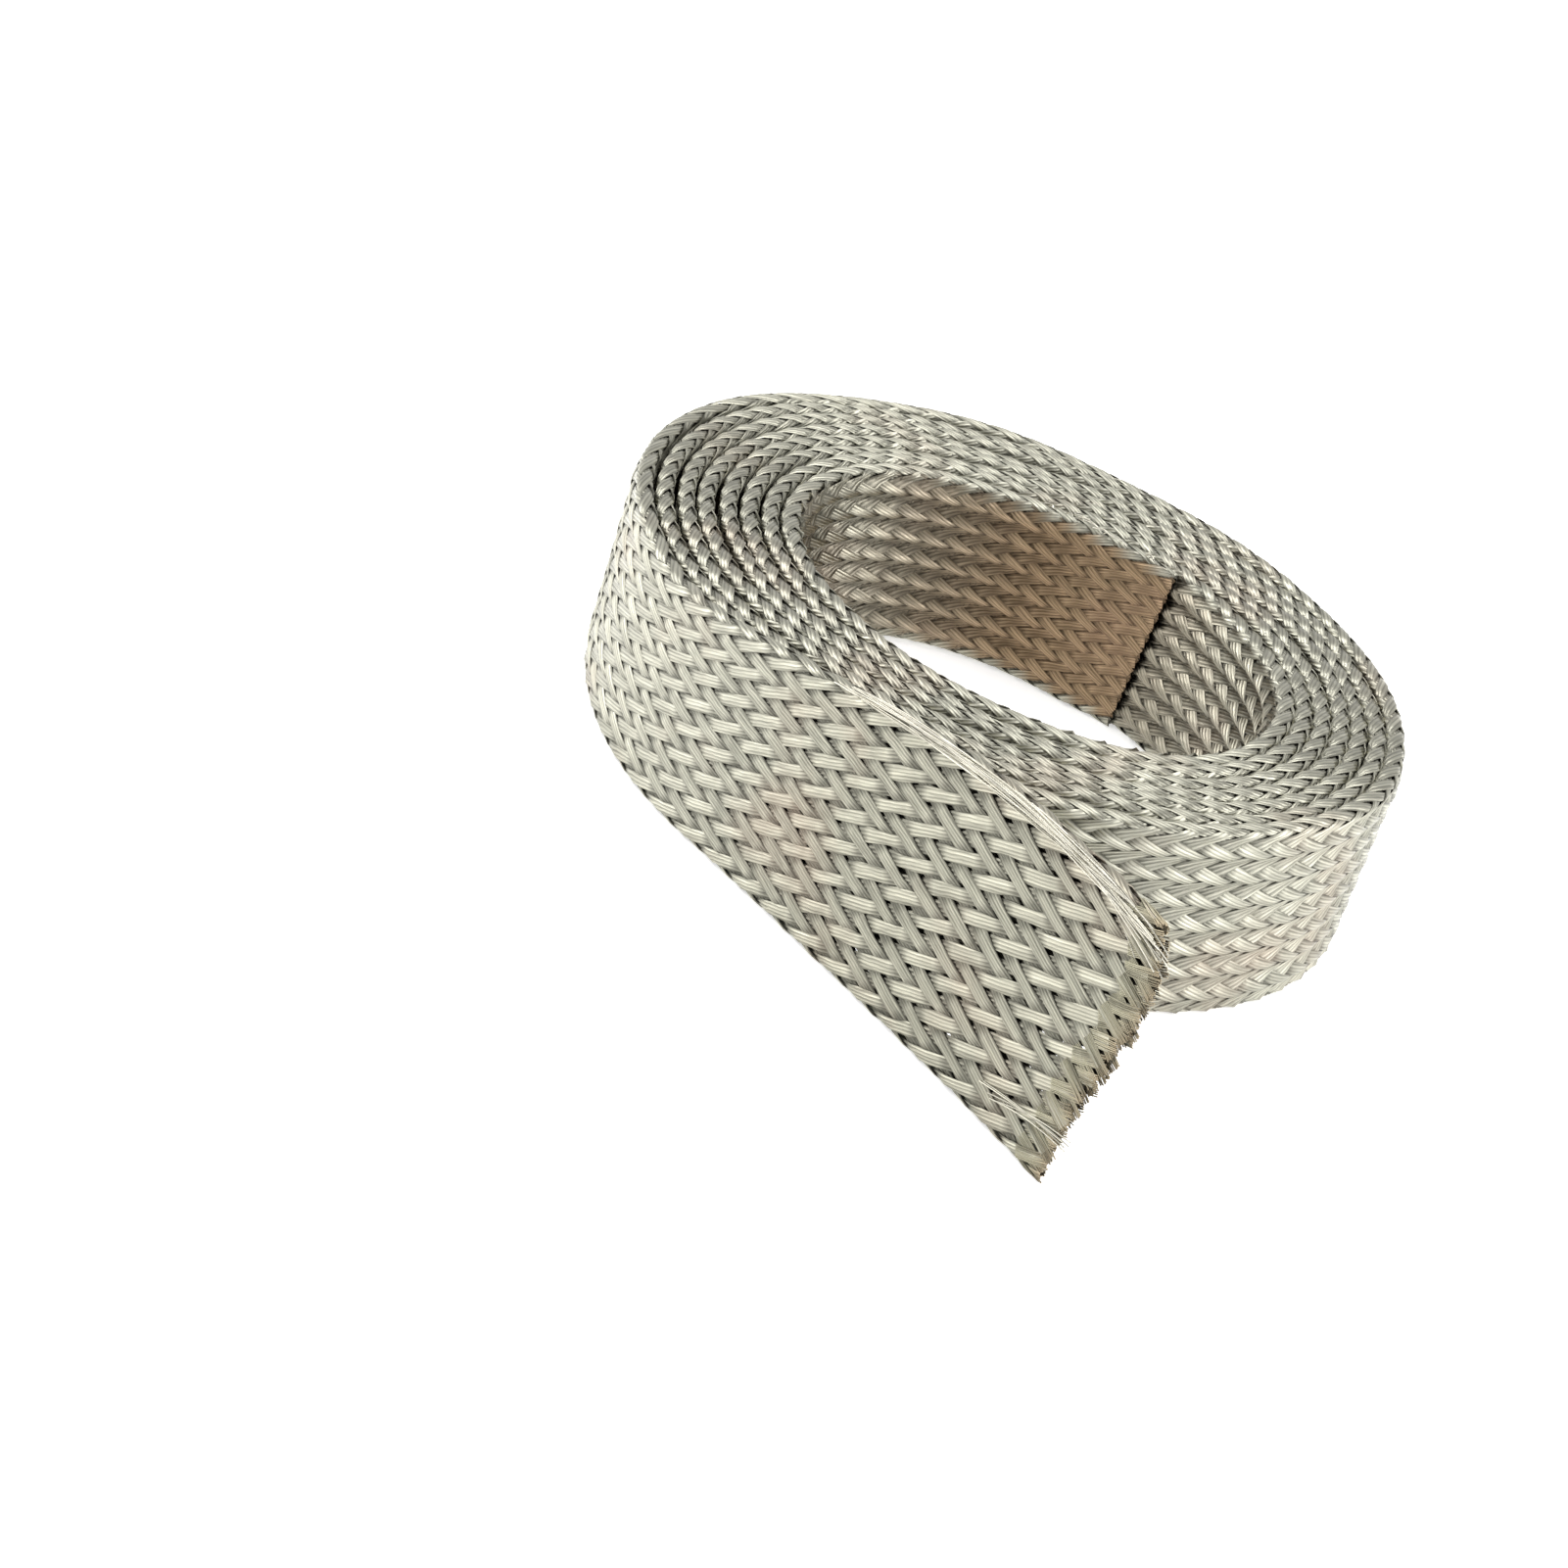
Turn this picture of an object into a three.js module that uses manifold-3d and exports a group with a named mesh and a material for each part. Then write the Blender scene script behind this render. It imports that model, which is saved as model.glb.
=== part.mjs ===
// A length of flat flexible busbar braid, wound into a loose oval coil with a frayed free tail.
// Millimetres, +Z up. The tape stands on its lower edge, X runs along the coil's long axis
// and the origin is under the middle of the whole piece.
import * as THREE from 'three';
import { mergeGeometries, mergeVertices } from 'three/addons/utils/BufferGeometryUtils.js';
import Module from 'manifold-3d';

// The tape: a tubular braid rolled flat, so it has two walls and rounded edges.
const WIDTH = 25;
const THICKNESS = 1.95;
const EDGE_ROUNDING = 0.8;
const EDGE_GROOVE = 0.5;
const EDGE_TWIST = 0.25;
const FOOT_WIDTH = 1.1;

// The weave: stripes of floats that lean up and down in turn, which makes chevrons.
const STRIPES = 8;
const BRAID_ANGLE = THREE.MathUtils.degToRad(24);
const RIDGE_HEIGHT = 0.36;
const TIP_DIP = 0.14;

// The coil: how its eye is shaped and how the turns lie on each other.
const EYE_LENGTH = 63;
const EYE_WIDTH = 47.4;
const TURN_GAP = 0.33;
const END_SLACK = 0.27;
const END_DRIFT = 0.3;
const FIRST_ANGLE = THREE.MathUtils.degToRad(88.75);
const LAST_ANGLE = THREE.MathUtils.degToRad(270 + 7 * 360);
const STATIONS_PER_TURN = 38;
const END_SLANT = 2.5;

// The free tail: it runs straight on from the last turn, loosened, wider and leaning.
const TAIL_LENGTH = 60.3;
const TAIL_WIDENING = 8;
const TAIL_SPREAD = 2.5;
const FOOT_LEAN = 2.6;
const LOOSENING_ANGLE = THREE.MathUtils.degToRad(110);
const WIDENING_LENGTH = 45;
const HIDDEN_LAP = 10;

// The gaps in the loosened weave, and the bundle ends that fray out of the uneven cut.
const GAP_LENGTH = 2.0;
const GAP_HEIGHT = 0.95;
const BUNDLE_RADIUS = 0.75;
const BUNDLE_TAPER = 0.7;
const BUNDLE_SIDES = 5;
const FRAY_ROOT = 3;
const FRAY_VARIATION = 0.4;
const FRAY_PHASE = 2.4;
const CUT_SLANT = 1.2;
const CUT_BULGE = 2.6;

const FULL_TURN = 2 * Math.PI;
const tinnedCopper = new THREE.MeshStandardMaterial({
  color: 0xcfcdb8, roughness: 0.42, metalness: 0.9, flatShading: true,
});

const turnsAt = (angle) => (angle - FIRST_ANGLE) / FULL_TURN;

// One turn's ellipse grows by a braid thickness and a gap for each turn.
function spiralPoint(angle) {
  const turns = turnsAt(angle);
  const pitch = THICKNESS + TURN_GAP;
  const halfLength = EYE_LENGTH / 2 + THICKNESS / 2 + (pitch + END_SLACK) * turns;
  const halfWidth = EYE_WIDTH / 2 + THICKNESS / 2 + pitch * turns;
  return new THREE.Vector3(
    halfLength * Math.cos(angle) - END_DRIFT * turns,
    halfWidth * Math.sin(angle),
    0,
  );
}

function spiralVelocity(angle) {
  const step = 1e-3;
  return spiralPoint(angle + step).sub(spiralPoint(angle - step)).divideScalar(2 * step);
}

const rightOf = (direction) => new THREE.Vector3(direction.y, -direction.x, 0);

// Distance run past the point where the tail leaves the coil, negative before it.
function tailRun(angle) {
  return (angle - LAST_ANGLE) * spiralVelocity(LAST_ANGLE).length();
}

// Position, outward side and speed of the tape's middle line at a winding angle.
function middleLine(angle) {
  const onCoil = Math.min(angle, LAST_ANGLE);
  const point = spiralPoint(onCoil);
  const velocity = spiralVelocity(onCoil);
  const speed = velocity.length();
  const forward = velocity.divideScalar(speed);
  const outward = rightOf(forward);
  if (angle > LAST_ANGLE) {
    const run = tailRun(angle);
    point.addScaledVector(forward, run);
    point.addScaledVector(outward, TAIL_SPREAD * (run / TAIL_LENGTH) ** 2);
  }
  return { point, outward, speed };
}

// How far the end of the tape has worked loose, from 0 on the coil to 1 at the tail.
const loosened = (angle) => THREE.MathUtils.smoothstep(angle, LAST_ANGLE - LOOSENING_ANGLE, LAST_ANGLE);

function widthAt(angle) {
  const start = -WIDENING_LENGTH / 2;
  return WIDTH + TAIL_WIDENING * THREE.MathUtils.smoothstep(tailRun(angle), start, WIDENING_LENGTH);
}

// Puts a section point on the tape: depth is outward, rise is a share of the width
// above the foot, and ahead is a distance along the tape.
function place(angle, { depth, rise, drop = 0, ahead = 0 }) {
  const shifted = angle + ahead / middleLine(angle).speed;
  const { point, outward } = middleLine(shifted);
  const lean = FOOT_LEAN * loosened(shifted) * (1 - rise);
  const position = point.addScaledVector(outward, depth + lean);
  position.z = rise * widthAt(shifted) + drop;
  return position;
}

const chevronLength = () => (WIDTH / STRIPES) / Math.tan(BRAID_ANGLE);
const shoulder = () => EDGE_ROUNDING / WIDTH;

// One face of the tape from its foot to its top edge. A woven face has a point on each
// stripe border, moved along the tape so that the rows of points make chevrons.
function faceChain(side, woven, onCrest) {
  const low = shoulder();
  const high = 1 - low;
  const borders = woven ? STRIPES : 1;
  const chain = [];
  for (let border = 0; border <= borders; border += 1) {
    const pointsAhead = woven && border % 2 === 1;
    const atEdge = border === 0 || border === borders;
    const swell = onCrest ? RIDGE_HEIGHT : 0;
    const dip = pointsAhead ? TIP_DIP : 0;
    const surface = woven ? (THICKNESS - RIDGE_HEIGHT) / 2 : THICKNESS / 2;
    const relief = woven && !atEdge ? swell - dip : 0;
    chain.push({
      depth: side * (surface + relief),
      rise: low + (high - low) * border / borders,
      ahead: pointsAhead ? chevronLength() : 0,
    });
  }
  return chain;
}

// The top edge shows the two walls of the flattened tube as two twisted ridges.
function topChain(outerEnd, innerEnd, onCrest) {
  const twist = onCrest ? EDGE_TWIST : -EDGE_TWIST;
  const ridge = THICKNESS / 4;
  return [
    outerEnd,
    { depth: ridge, rise: 1, drop: -EDGE_TWIST + twist },
    { depth: 0, rise: 1, drop: -EDGE_GROOVE - EDGE_TWIST },
    { depth: -ridge, rise: 1, drop: -EDGE_TWIST - twist },
    innerEnd,
  ];
}

function footChain(innerEnd, outerEnd) {
  return [
    innerEnd,
    { depth: -FOOT_WIDTH / 2, rise: 0 },
    { depth: FOOT_WIDTH / 2, rise: 0 },
    outerEnd,
  ];
}

// The closed section as four chains: outer face, top edge, inner face and foot.
function section({ outerWoven, innerWoven }, onCrest) {
  const outer = faceChain(1, outerWoven, onCrest);
  const inner = faceChain(-1, innerWoven, onCrest).reverse();
  return [
    outer,
    topChain(outer.at(-1), inner[0], onCrest),
    inner,
    footChain(inner.at(-1), outer[0]),
  ];
}

function ring(angle, faces, onCrest) {
  const chains = section(faces, onCrest);
  return chains.map((chain) => chain.map((spot) => ({ ...spot, position: place(angle, spot) })));
}

// The inner end is cut through all strands in one straight line that reaches furthest at the top.
function innerEndRing(faces) {
  return section(faces, false).map((chain) => chain.map((spot) => {
    const ahead = END_SLANT * (0.5 - spot.rise);
    return { ...spot, ahead, position: place(FIRST_ANGLE, { ...spot, ahead }) };
  }));
}

// Fills the band between two chains, which may have different numbers of points.
function zip(chainA, chainB, triangles) {
  let a = 0;
  let b = 0;
  while (a < chainA.length - 1 || b < chainB.length - 1) {
    const nextA = (a + 1) / (chainA.length - 1);
    const nextB = (b + 1) / (chainB.length - 1);
    if (b === chainB.length - 1 || (a < chainA.length - 1 && nextA <= nextB)) {
      triangles.push(chainA[a].position, chainB[b].position, chainA[a + 1].position);
      a += 1;
    } else {
      triangles.push(chainA[a].position, chainB[b].position, chainB[b + 1].position);
      b += 1;
    }
  }
}

function capEnd(chains, facesForward, triangles) {
  const outline = chains.flatMap((chain) => chain.slice(0, -1));
  const flat = outline.map((spot) => new THREE.Vector2(-spot.depth, spot.rise * WIDTH + (spot.drop ?? 0)));
  for (const [a, b, c] of THREE.ShapeUtils.triangulateShape(flat, [])) {
    const corners = [outline[a].position, outline[b].position, outline[c].position];
    const turnsLeft = flat[b].clone().sub(flat[a]).cross(flat[c].clone().sub(flat[a])) > 0;
    if (turnsLeft !== facesForward) corners.reverse();
    triangles.push(...corners);
  }
}

// Stations about a given distance apart along the tape, the last one a step before its end.
function evenStations(from, to, distance) {
  const fineStep = (to - from) / 200;
  let length = 0;
  for (let angle = from; angle < to; angle += fineStep) length += fineStep * middleLine(angle).speed;
  const count = Math.round(length / distance);
  const stations = [from];
  while (stations.length < count) {
    const angle = stations.at(-1);
    stations.push(angle + length / count / middleLine(angle).speed);
  }
  return stations;
}

// Stations that line up from turn to turn, for the stretches that show only their edges.
function alignedStations(from, to) {
  const step = FULL_TURN / STATIONS_PER_TURN;
  const stations = [];
  for (let angle = Math.ceil(from / step) * step; angle < to; angle += step) stations.push(angle);
  return stations;
}

const angleAfter = (angle, distance) => angle + distance / middleLine(angle).speed;

// Where the stripes' backward corners end, a chevron short of the tail's full length.
const tailEnd = () => angleAfter(LAST_ANGLE, TAIL_LENGTH - chevronLength());

function tapeRings() {
  const halfPeriod = chevronLength() / 2;
  const eyeEnd = FIRST_ANGLE + FULL_TURN;
  const innerStart = angleAfter(FIRST_ANGLE, halfPeriod / 2);
  const outerStart = angleAfter(LAST_ANGLE - FULL_TURN, HIDDEN_LAP);
  const tailStart = angleAfter(LAST_ANGLE, HIDDEN_LAP);
  const innerFace = { outerWoven: false, innerWoven: true };
  const noFace = { outerWoven: false, innerWoven: false };
  const outerFace = { outerWoven: true, innerWoven: false };
  const bothFaces = { outerWoven: true, innerWoven: true };
  const outerWeaveStart = angleAfter(outerStart, halfPeriod / 2);
  const stretches = [
    { faces: innerFace, stations: evenStations(innerStart, eyeEnd, halfPeriod) },
    { faces: noFace, stations: alignedStations(angleAfter(eyeEnd, chevronLength()), outerStart) },
    { faces: outerFace, stations: evenStations(outerWeaveStart, tailStart, halfPeriod) },
    { faces: bothFaces, stations: [...evenStations(tailStart, tailEnd(), halfPeriod), tailEnd()] },
  ];
  const rings = [innerEndRing(innerFace)];
  for (const { faces, stations } of stretches) {
    stations.forEach((angle) => rings.push(ring(angle, faces, rings.length % 2 === 0)));
  }
  return rings;
}

function tapeGeometry() {
  const rings = tapeRings();
  const triangles = [];
  capEnd(rings[0], false, triangles);
  for (let i = 1; i < rings.length; i += 1) {
    rings[i].forEach((chain, side) => zip(rings[i - 1][side], chain, triangles));
  }
  capEnd(rings.at(-1), true, triangles);
  return new THREE.BufferGeometry().setFromPoints(triangles);
}

// A straight bundle with flat sides between two points, thinner at its far end.
function taperedBar(from, to) {
  const axis = to.clone().sub(from);
  const tipRadius = BUNDLE_RADIUS * BUNDLE_TAPER;
  const bar = new THREE.CylinderGeometry(tipRadius, BUNDLE_RADIUS, axis.length(), BUNDLE_SIDES);
  const upright = new THREE.Vector3(0, 1, 0);
  bar.applyQuaternion(new THREE.Quaternion().setFromUnitVectors(upright, axis.clone().normalize()));
  return bar.translate(...from.clone().add(to).divideScalar(2).toArray());
}

// A gap between bundles is a four-sided hole through both walls of the tape.
function gapGeometry(angle, rise, ahead) {
  const middle = place(angle, { depth: 0, rise, ahead });
  const { outward } = middleLine(angle);
  const forward = new THREE.Vector3(-outward.y, outward.x, 0);
  const hole = new THREE.CylinderGeometry(0.5, 0.5, THICKNESS + 2 * RIDGE_HEIGHT, 4);
  hole.scale(GAP_LENGTH, 1, GAP_HEIGHT);
  hole.applyMatrix4(new THREE.Matrix4().makeBasis(forward, outward, new THREE.Vector3(0, 0, -1)));
  return hole.translate(middle.x, middle.y, middle.z);
}

// Gaps lie where the points of the chevrons meet, once in each chevron of the tail.
function tailGaps() {
  const period = chevronLength();
  const gaps = [];
  for (const angle of evenStations(angleAfter(LAST_ANGLE, HIDDEN_LAP - period), tailEnd(), period)) {
    for (let border = 1; border < STRIPES; border += 2) {
      const rise = shoulder() + (1 - 2 * shoulder()) * border / STRIPES;
      gaps.push(gapGeometry(angle, rise, period));
    }
  }
  return gaps;
}

// How far the tail's cut reaches at a rise: it slants, and bulges above the middle.
const cutReach = (rise) => CUT_SLANT * rise + CUT_BULGE * Math.sin(Math.PI * rise ** 2);

// Bundle ends at the cut, one for each stripe of each wall, of uneven length.
function frayedBundles() {
  const toCut = chevronLength() / 2;
  const end = angleAfter(tailEnd(), toCut);
  const bundles = [];
  for (let stripe = 0; stripe < STRIPES; stripe += 1) {
    for (const wall of [-1, 1]) {
      const rise = (stripe + 0.5) / STRIPES;
      const leansUp = (stripe + (wall > 0 ? 0 : 1)) % 2 === 0 ? 1 : -1;
      const reach = toCut + cutReach(rise) + FRAY_VARIATION * Math.sin(stripe * FRAY_PHASE + wall);
      const climb = leansUp * Math.tan(BRAID_ANGLE) / 2 / widthAt(end);
      const depth = wall * THICKNESS / 4;
      const root = place(end, { depth, rise: rise - climb * FRAY_ROOT, ahead: -FRAY_ROOT });
      const tip = place(end, { depth: depth * 2, rise: rise + climb * reach, ahead: reach });
      bundles.push(taperedBar(root, tip));
    }
  }
  return bundles;
}

const wasm = await Module();
wasm.setup();

function toSolid(geometry) {
  const bare = geometry.clone();
  bare.deleteAttribute('normal');
  bare.deleteAttribute('uv');
  const merged = mergeVertices(bare, 1e-4);
  return new wasm.Manifold(new wasm.Mesh({
    numProp: 3,
    vertProperties: new Float32Array(merged.attributes.position.array),
    triVerts: new Uint32Array(merged.index.array),
  }));
}

function toGeometry(solid) {
  const mesh = solid.getMesh();
  const geometry = new THREE.BufferGeometry();
  geometry.setAttribute('position', new THREE.BufferAttribute(new Float32Array(mesh.vertProperties), 3));
  geometry.setIndex(new THREE.BufferAttribute(new Uint32Array(mesh.triVerts), 1));
  geometry.computeVertexNormals();
  return geometry;
}

function makeBraid() {
  const tape = toSolid(tapeGeometry());
  const gaps = toSolid(mergeGeometries(tailGaps()));
  const fray = frayedBundles().map(toSolid);
  const frayed = fray.reduce((whole, bundle) => whole.add(bundle), tape);
  const geometry = toGeometry(frayed.subtract(gaps));
  const braid = new THREE.Mesh(geometry, tinnedCopper);
  braid.name = 'braid';
  return braid;
}

const group = new THREE.Group();
const braid = makeBraid();
braid.geometry.computeBoundingBox();
const middle = braid.geometry.boundingBox.getCenter(new THREE.Vector3());
braid.position.set(-middle.x, -middle.y, -braid.geometry.boundingBox.min.z);
group.add(braid);

export default group;
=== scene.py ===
"""A coil of flat flexible busbar braid in tinned copper wire, with its free tail frayed at the cut."""

import math

import bpy
import numpy as np
from bpy.props import FloatProperty, FloatVectorProperty, PointerProperty
from mathutils import Matrix


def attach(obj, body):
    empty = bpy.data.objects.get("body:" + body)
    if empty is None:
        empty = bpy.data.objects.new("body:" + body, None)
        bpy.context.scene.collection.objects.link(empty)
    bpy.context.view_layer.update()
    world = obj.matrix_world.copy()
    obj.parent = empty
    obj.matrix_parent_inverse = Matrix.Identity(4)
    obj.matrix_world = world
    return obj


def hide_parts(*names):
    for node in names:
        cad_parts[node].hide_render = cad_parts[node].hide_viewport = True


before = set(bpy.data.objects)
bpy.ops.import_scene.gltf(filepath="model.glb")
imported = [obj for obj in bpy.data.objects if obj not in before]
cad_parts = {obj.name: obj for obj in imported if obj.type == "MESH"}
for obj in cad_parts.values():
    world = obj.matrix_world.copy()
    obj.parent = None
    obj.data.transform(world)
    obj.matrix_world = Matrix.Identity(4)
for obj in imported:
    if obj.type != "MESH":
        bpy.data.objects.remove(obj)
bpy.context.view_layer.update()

bl_info = {
    "name": "Flexible busbar braid",
    "version": (1, 0, 0),
    "blender": (4, 5, 0),
    "location": "3D View > Sidebar > Braid",
    "description": "Builds a coiled flat braid of tinned copper wire, strand by strand",
    "category": "Add Mesh",
}

MM = 0.001
FULL_TURN = 2 * math.pi

# The path of the tape, seen from above
FIRST_ANGLE = math.radians(88.75)
LAST_ANGLE = math.radians(270) + 7 * FULL_TURN
LEAD = math.radians(6)
LEAD_LENGTH = 3 * MM
END_SLANT = 2.5 * MM
END_SLACK = 0.27 * MM
END_DRIFT = 0.3 * MM
EYE_MIDDLE = np.array((-3.67912, 3.40706)) * MM
TAIL_SPREAD = 2.5 * MM
TAIL_WIDENING = 8 * MM
WIDENING_LENGTH = 45 * MM
FOOT_LEAN = 2.6 * MM
LOOSENING_ANGLE = math.radians(110)

# The tube of strands, pressed flat: stripes of floats across its faces and over its folded edges
FACE_STRIPES = 14
EDGE_STRIPES = 2
STRIPES = 2 * (FACE_STRIPES + EDGE_STRIPES)
EDGE_START = 0.95 * MM
EDGE_INSET = 0.3 * MM
# The folded edge by stripe: (stripe, depth, height), round over the top from the outer face to the middle
FOLD = (
    (0.0, 0.68, -0.95),
    (0.25, 0.76, -0.5),
    (0.5, 0.72, -0.18),
    (0.75, 0.45, -0.06),
    (1.0, 0.0, -0.04),
)
CROSSING = 0.25
STRAND_RISE = 0.115 * MM
DIVE_SHARPNESS = 0.15
# A strand's cross-section: across and up, in halves of its width and thickness, with its two rims
LENS = np.array(((-1, 0), (-0.84, 0.75), (0, 1), (0.84, 0.75), (1, 0), (0, -1)))
EDGE_LENS = LENS[[0, 1, 3, 4, 5]]
# The angles between which the weave is drawn out: the right and the left end of the last turn
DRAWN_OUT = (LAST_ANGLE - math.radians(270), LAST_ANGLE - math.radians(70))
# How the tail's cut reaches past its foot
CUT_SLANT = 1.2 * MM
CUT_BULGE = 2.6 * MM
# How much of the floor's white comes by itself, for the eye and in reflections
FLOOR_GLOW = 0.5
# How dark the painted shade makes the tin in the hollows of the weave
PAINTED_HOLLOW_SHADE = 0.7
# Turns that have slipped inwards at the coil's left end, which opens a dark gap outside them
SLIPPED_TURNS = (3, 6)
# How far two pieces of the weave lap over each other, on the coil and at the tail's root
LAP = 8 * MM
TAIL_LAP = 12 * MM
# How far the middle line goes on past the tail's end, for the slant of the cut
PAST_END = 12 * MM
# The plain strips between the turns: depth, depth behind a woven face, distance from the edges, step
HIDDEN_DEPTH = 0.8 * MM
HIDDEN_SKIN = 0.05 * MM
HIDDEN_DROP = 1.6 * MM
HIDDEN_STEP = 1.2 * MM
# How high the ropes of the weave stand on a face: on the long sides and the tail, and in the tight bends
OUTER_RIDGES = (0.05 * MM, 0.6 * MM)
INNER_RIDGES = (0.45 * MM, 1.1 * MM)
# The distance between two wires in the material, coarser than the real one, in mm
WIRE_SPACING = 0.4
# Single wires are drawn a little thicker than they are, so that they show
WIRE_DRAWN = 1.1
# The cut ends: wires shown of each strand, their length and how far they stray
CUT_WIRES = 9
FRAY_ROOT = 4 * MM
FRAY_SPREAD = 0.05 * MM
# Bunches along the tail's upper edge: start and end before the cut, fall at the end, in mm, and count
EDGE_BUNCHES = (
    (45, 26, 0.2, 14), (36, 16, 0.3, 18), (31, 9, 0.6, 20), (25, 3, 1.5, 20), (19, -1, 3, 20),
    (13, -2, 5, 16),
)
# Wires over the tail's foot: start and end before the cut in mm, start and end up the width, bow
FOOT_WIRES = (
    (9.5, -2, 0.11, 0.185, 0.02), (10.5, -1.5, 0.13, 0.17, 0.015), (8.5, -2, 0.105, 0.2, 0.02),
    (9, -1.8, 0.1, 0.16, 0.02), (11, -1, 0.12, 0.18, 0.01),
)
INNER_HAIRS = 16
# The lamps: name, place, side and power
LAMPS = (
    ("key lamp", (-0.75, -0.3, 0.52), 0.6, 4.6),
    ("top lamp", (-0.1, 0.1, 0.95), 0.7, 5.3),
    ("fill lamp", (0.8, 0.3, 0.45), 0.6, 4.6),
)
# The photograph's camera: focal length and side of the frame in pixels, place, direction and roll
FOCAL_LENGTH = 2540
FRAME_SIDE = 1601
CAMERA_PLACE = (0.1540, -0.2125, 0.1570)
CAMERA_FORWARD = (-0.556, 0.640, -0.530)
CAMERA_ROLL = math.radians(-15.33)


def linear(hex_colour):
    """The linear colour of an sRGB hex value."""
    channels = [int(hex_colour[i:i + 2], 16) / 255 for i in (1, 3, 5)]
    return [c / 12.92 if c <= 0.04045 else ((c + 0.055) / 1.055) ** 2.4 for c in channels]


def smoothstep(value, start, end):
    t = np.clip((value - start) / (end - start), 0, 1)
    return t * t * (3 - 2 * t)


def size(name, description, millimetres):
    """A length that can be set in the panel."""
    return FloatProperty(
        name=name, description=description, default=millimetres * MM, unit="LENGTH", subtype="DISTANCE"
    )


def colour(name, description, hex_colour):
    """A colour that can be set in the panel."""
    return FloatVectorProperty(
        name=name, description=description, default=linear(hex_colour), subtype="COLOR", min=0, max=1
    )


class TapeSizes(bpy.types.PropertyGroup):
    width: size("Width", "Width of the flat tape", 25)
    thickness: size("Thickness", "Thickness of the tape", 1.95)
    turn_gap: size("Turn gap", "Air between two turns", 0.33)
    eye_length: size("Eye length", "Longer opening of the coil", 63)
    eye_width: size("Eye width", "Shorter opening of the coil", 47.4)
    tail_length: size("Tail length", "Free tape past the coil", 60.3)
    period: size("Weave period", "Length of tape that one float takes on the coil", 3.86)
    tail_period: size("Tail weave period", "Length of tape that one float takes on the tail", 5.2)
    strand_width: size("Strand width", "Width of one flat bundle of wires", 1.62)
    strand_thickness: size("Strand thickness", "Thickness of one bundle of wires", 0.22)
    wire: size("Wire", "Diameter of one wire", 0.15)


class TapeColours(bpy.types.PropertyGroup):
    tin: colour("Tin", "Clean tin on the wires", "#DBD9C8")
    dull_tin: colour("Dull tin", "Tin gone grey", "#B4B09A")
    # Painted highlight: the loose wires' tin is lighter than the plaited tin, standing for their many fine
    # highlights
    painted_highlight_tin: colour("Bright tin", "Tin on the loose wires", "#FCF8EA")
    copper: colour("Copper", "Copper where the tin is thin", "#B08D78")
    # Copper tone: bare copper at the cut wire tips; inside the eye by the inner end, a painted reflection of
    # copper and painted shade
    copper_tint_and_reflection: colour("Worn tin", "Tin rubbed thin near the inner end, warm with copper", "#CBAE8C")
    floor: colour("Floor", "Colour of the floor", "#F6F6F6")


class TapeLine:
    """The tape's middle line in plan, its width and its lean, by the length run from the inner end."""

    def __init__(self, sizes):
        angles = np.linspace(FIRST_ANGLE - LEAD, LAST_ANGLE, 9000)
        coil = self.spiral(sizes, angles)
        speed = np.linalg.norm(coil[-1] - coil[-2]) / (angles[-1] - angles[-2])
        forward = (coil[-1] - coil[-2]) / np.linalg.norm(coil[-1] - coil[-2])
        outward = np.array((forward[1], -forward[0]))
        run = np.linspace(0, sizes.tail_length + PAST_END, 500)[1:]
        bend = TAIL_SPREAD * (run / sizes.tail_length) ** 2
        tail = coil[-1] + forward * run[:, None] + outward * bend[:, None]
        self.points = np.concatenate((coil, tail))
        steps = np.linalg.norm(np.diff(self.points, axis=0), axis=1)
        self.lengths = np.concatenate(((0,), np.cumsum(steps)))
        self.lengths -= np.interp(FIRST_ANGLE, angles, self.lengths[:len(angles)])
        self.angles = np.concatenate((angles, np.full(len(run), LAST_ANGLE)))
        self.runs = np.concatenate(((angles - LAST_ANGLE) * speed, run))
        tangents = np.gradient(self.points, self.lengths, axis=0)
        self.tangents = tangents / np.linalg.norm(tangents, axis=1)[:, None]
        self.on_coil = len(angles)
        self.coil_end = self.lengths[self.on_coil - 1]
        self.end = self.coil_end + sizes.tail_length
        self.full_width = sizes.width

    @staticmethod
    def spiral(sizes, angles):
        turns = (angles - FIRST_ANGLE) / FULL_TURN
        pitch = sizes.thickness + sizes.turn_gap
        half_length = (sizes.eye_length + sizes.thickness) / 2 + (pitch + END_SLACK) * turns
        half_width = (sizes.eye_width + sizes.thickness) / 2 + pitch * turns
        x = half_length * np.cos(angles) - END_DRIFT * turns
        return np.stack((x, half_width * np.sin(angles)), -1) + EYE_MIDDLE

    def length_at(self, angle):
        """The length of tape from the inner end to an angle on the coil."""
        return np.interp(angle, self.angles[:self.on_coil], self.lengths[:self.on_coil])

    def column(self, table, length):
        return np.interp(length, self.lengths, table)

    def width(self, length):
        run = self.column(self.runs, length)
        return self.full_width + TAIL_WIDENING * smoothstep(run, -WIDENING_LENGTH / 2, WIDENING_LENGTH)

    def place(self, length, depth, height):
        """The points of the frame at a length, a depth towards the outside and a height."""
        width = self.width(length)
        angle = self.column(self.angles, length)
        loosened = smoothstep(angle, LAST_ANGLE - LOOSENING_ANGLE, LAST_ANGLE)
        depth = depth + FOOT_LEAN * loosened * (1 - height / width)
        x = self.column(self.points[:, 0], length) + depth * self.column(self.tangents[:, 1], length)
        y = self.column(self.points[:, 1], length) - depth * self.column(self.tangents[:, 0], length)
        return np.stack((x, y, height), -1)


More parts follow.
